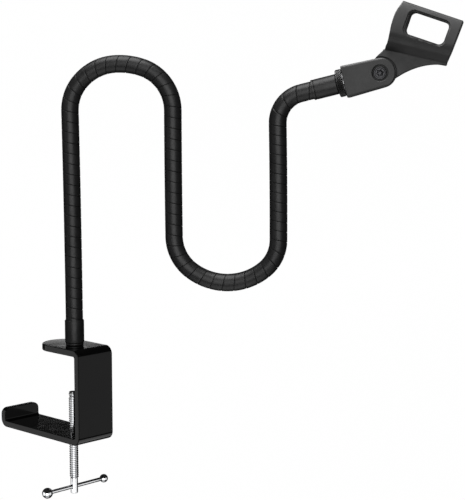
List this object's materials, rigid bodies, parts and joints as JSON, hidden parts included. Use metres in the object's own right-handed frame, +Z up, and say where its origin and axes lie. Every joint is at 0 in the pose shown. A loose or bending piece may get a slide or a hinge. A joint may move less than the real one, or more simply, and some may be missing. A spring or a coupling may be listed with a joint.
{
  "type": "gooseneck microphone stand",
  "caption": "Desk clamp with a screw and tommy bar, a semi-rigid gooseneck that holds its bends, and a tilting U-shaped microphone clip.",
  "frame": {"origin": "on the desk face, the underside of the clamp's top plate, in the middle of the strap where the rounded free end begins", "axes": "+Z up the gooseneck's foot; the throat opens towards -X and the web's outer face looks along +X; the strap is as wide as Y; the gooseneck's plane holds Z and is turned 34 degrees from +X towards +Y"},
  "size_m": [0.327, 0.2082, 0.3849],
  "materials": {
    "gloss_black_paint": "gloss black powder coat over bent steel",
    "satin_black_neck": "satin black coating over wound steel strip",
    "black_plastic": "satin black moulded plastic",
    "chrome": "bright plated",
    "steel": "plain steel",
    "brass": "machined"
  },
  "bodies": {
    "clamp": {"clamp_bracket": "gloss_black_paint", "neck_fixing_screw": "steel", "base_ring": "satin_black_neck", "base_collar": "satin_black_neck", "neck_hose_01": "satin_black_neck", "neck_core_01": "steel"},
    "screw_tip": {"screw_button": "chrome"},
    "screw": {"clamp_screw": "chrome"},
    "handle": {"tommy_bar": "chrome", "bar_ball_near": "chrome", "bar_ball_far": "chrome"},
    "neck_link_02": {"neck_hose_02": "satin_black_neck", "neck_core_02": "steel"},
    "neck_link_03": {"neck_hose_03": "satin_black_neck", "neck_core_03": "steel"},
    "neck_link_04": {"neck_hose_04": "satin_black_neck", "neck_core_04": "steel"},
    "neck_link_05": {"neck_hose_05": "satin_black_neck", "neck_core_05": "steel"},
    "neck_link_06": {"neck_hose_06": "satin_black_neck", "neck_core_06": "steel"},
    "neck_link_07": {"neck_hose_07": "satin_black_neck", "neck_core_07": "steel"},
    "neck_link_08": {"neck_hose_08": "satin_black_neck", "neck_core_08": "steel"},
    "neck_link_09": {"neck_hose_09": "satin_black_neck", "neck_core_09": "steel"},
    "neck_link_10": {"neck_hose_10": "satin_black_neck", "neck_core_10": "steel"},
    "neck_link_11": {"neck_hose_11": "satin_black_neck", "neck_core_11": "steel"},
    "neck_link_12": {"neck_hose_12": "satin_black_neck", "neck_core_12": "steel"},
    "neck_link_13": {"neck_hose_13": "satin_black_neck", "neck_core_13": "steel"},
    "neck_link_14": {"neck_hose_14": "satin_black_neck", "neck_core_14": "steel"},
    "neck_link_15": {"neck_hose_15": "satin_black_neck", "neck_core_15": "steel", "top_ferrule": "satin_black_neck", "thread_stud": "steel"},
    "lock_ring": {"lock_ring": "black_plastic"},
    "barrel": {"clip_barrel": "black_plastic", "thread_insert": "brass", "pivot_screw": "steel", "pivot_nut": "steel", "friction_washer_near": "black_plastic", "friction_washer_far": "black_plastic"},
    "cradle": {"mic_cradle": "black_plastic"}
  },
  "joints": [
    {"name": "screw_travel", "type": "slide", "parent": "clamp", "child": "screw_tip", "axis": [0, 0, 1], "range_m": [-0.028, 0.032]},
    {"name": "screw_turn", "type": "hinge", "parent": "screw_tip", "child": "screw", "pos_m": [0.0099, 0, -0.033], "axis": [0, 0, 1], "range_deg": [-6660, 7620]},
    {"name": "handle_slide", "type": "slide", "parent": "screw", "child": "handle", "axis": [0, 1, 0], "range_m": [-0.024, 0.0195]},
    {"name": "neck_bend_base", "type": "hinge", "parent": "clamp", "child": "neck_link_02", "pos_m": [0.01275, -0.00003, 0.045], "axis": [0.5592, -0.829, 0], "range_deg": [-20, 20]},
    {"name": "neck_swing_leg_1", "type": "hinge", "parent": "neck_link_02", "child": "neck_link_03", "pos_m": [0.01252, -0.00019, 0.1], "axis": [0.829, 0.5592, 0], "range_deg": [-20, 20]},
    {"name": "neck_bend_arch_1_1", "type": "hinge", "parent": "neck_link_03", "child": "neck_link_04", "pos_m": [0.01371, 0.00061, 0.20083], "axis": [0.5592, -0.829, 0], "range_deg": [-5, 45]},
    {"name": "neck_bend_arch_1_2", "type": "hinge", "parent": "neck_link_04", "child": "neck_link_05", "pos_m": [0.03056, 0.01198, 0.22093], "axis": [0.5592, -0.829, 0], "range_deg": [-5, 45]},
    {"name": "neck_bend_arch_1_3", "type": "hinge", "parent": "neck_link_05", "child": "neck_link_06", "pos_m": [0.06141, 0.03279, 0.22044], "axis": [0.5592, -0.829, 0], "range_deg": [-5, 45]},
    {"name": "neck_bend_arch_1_4", "type": "hinge", "parent": "neck_link_06", "child": "neck_link_07", "pos_m": [0.07692, 0.04325, 0.20187], "axis": [0.5592, -0.829, 0], "range_deg": [-5, 45]},
    {"name": "neck_swing_leg_2", "type": "hinge", "parent": "neck_link_07", "child": "neck_link_08", "pos_m": [0.07921, 0.04479, 0.14048], "axis": [0.829, 0.5592, 0], "range_deg": [-20, 20]},
    {"name": "neck_bend_arch_2_1", "type": "hinge", "parent": "neck_link_08", "child": "neck_link_09", "pos_m": [0.08168, 0.04646, 0.07984], "axis": [-0.5592, 0.829, 0], "range_deg": [-5, 45]},
    {"name": "neck_bend_arch_2_2", "type": "hinge", "parent": "neck_link_09", "child": "neck_link_10", "pos_m": [0.09874, 0.05797, 0.0608], "axis": [-0.5592, 0.829, 0], "range_deg": [-5, 45]},
    {"name": "neck_bend_arch_2_3", "type": "hinge", "parent": "neck_link_10", "child": "neck_link_11", "pos_m": [0.12815, 0.0778, 0.06099], "axis": [-0.5592, 0.829, 0], "range_deg": [-5, 45]},
    {"name": "neck_bend_arch_2_4", "type": "hinge", "parent": "neck_link_11", "child": "neck_link_12", "pos_m": [0.14495, 0.08913, 0.07964], "axis": [-0.5592, 0.829, 0], "range_deg": [-5, 45]},
    {"name": "neck_swing_leg_3", "type": "hinge", "parent": "neck_link_12", "child": "neck_link_13", "pos_m": [0.14661, 0.09026, 0.13508], "axis": [0.829, 0.5592, 0], "range_deg": [-20, 20]},
    {"name": "neck_bend_arch_3_1", "type": "hinge", "parent": "neck_link_13", "child": "neck_link_14", "pos_m": [0.14697, 0.0905, 0.18685], "axis": [0.5592, -0.829, 0], "range_deg": [-8, 38]},
    {"name": "neck_bend_arch_3_2", "type": "hinge", "parent": "neck_link_14", "child": "neck_link_15", "pos_m": [0.15463, 0.09567, 0.19893], "axis": [0.5592, -0.829, 0], "range_deg": [-8, 38]},
    {"name": "lock_ring_turn", "type": "hinge", "parent": "neck_link_15", "child": "lock_ring", "pos_m": [0.1853, 0.11636, 0.20949], "axis": [0.8044, 0.5426, 0.2419], "range_deg": [-180, 180]},
    {"name": "barrel_turn", "type": "hinge", "parent": "neck_link_15", "child": "barrel", "pos_m": [0.18776, 0.11801, 0.21022], "axis": [0.8044, 0.5426, 0.2419], "range_deg": [-180, 180]},
    {"name": "cradle_tilt", "type": "hinge", "parent": "barrel", "child": "cradle", "pos_m": [0.20988, 0.13293, 0.21688], "axis": [0.5592, -0.829, 0], "range_deg": [-112, 34]}
  ],
  "couplings": [
    {"joint": "screw_travel", "follows": "screw_turn", "m_per_rad": 0.00023873}
  ]
}
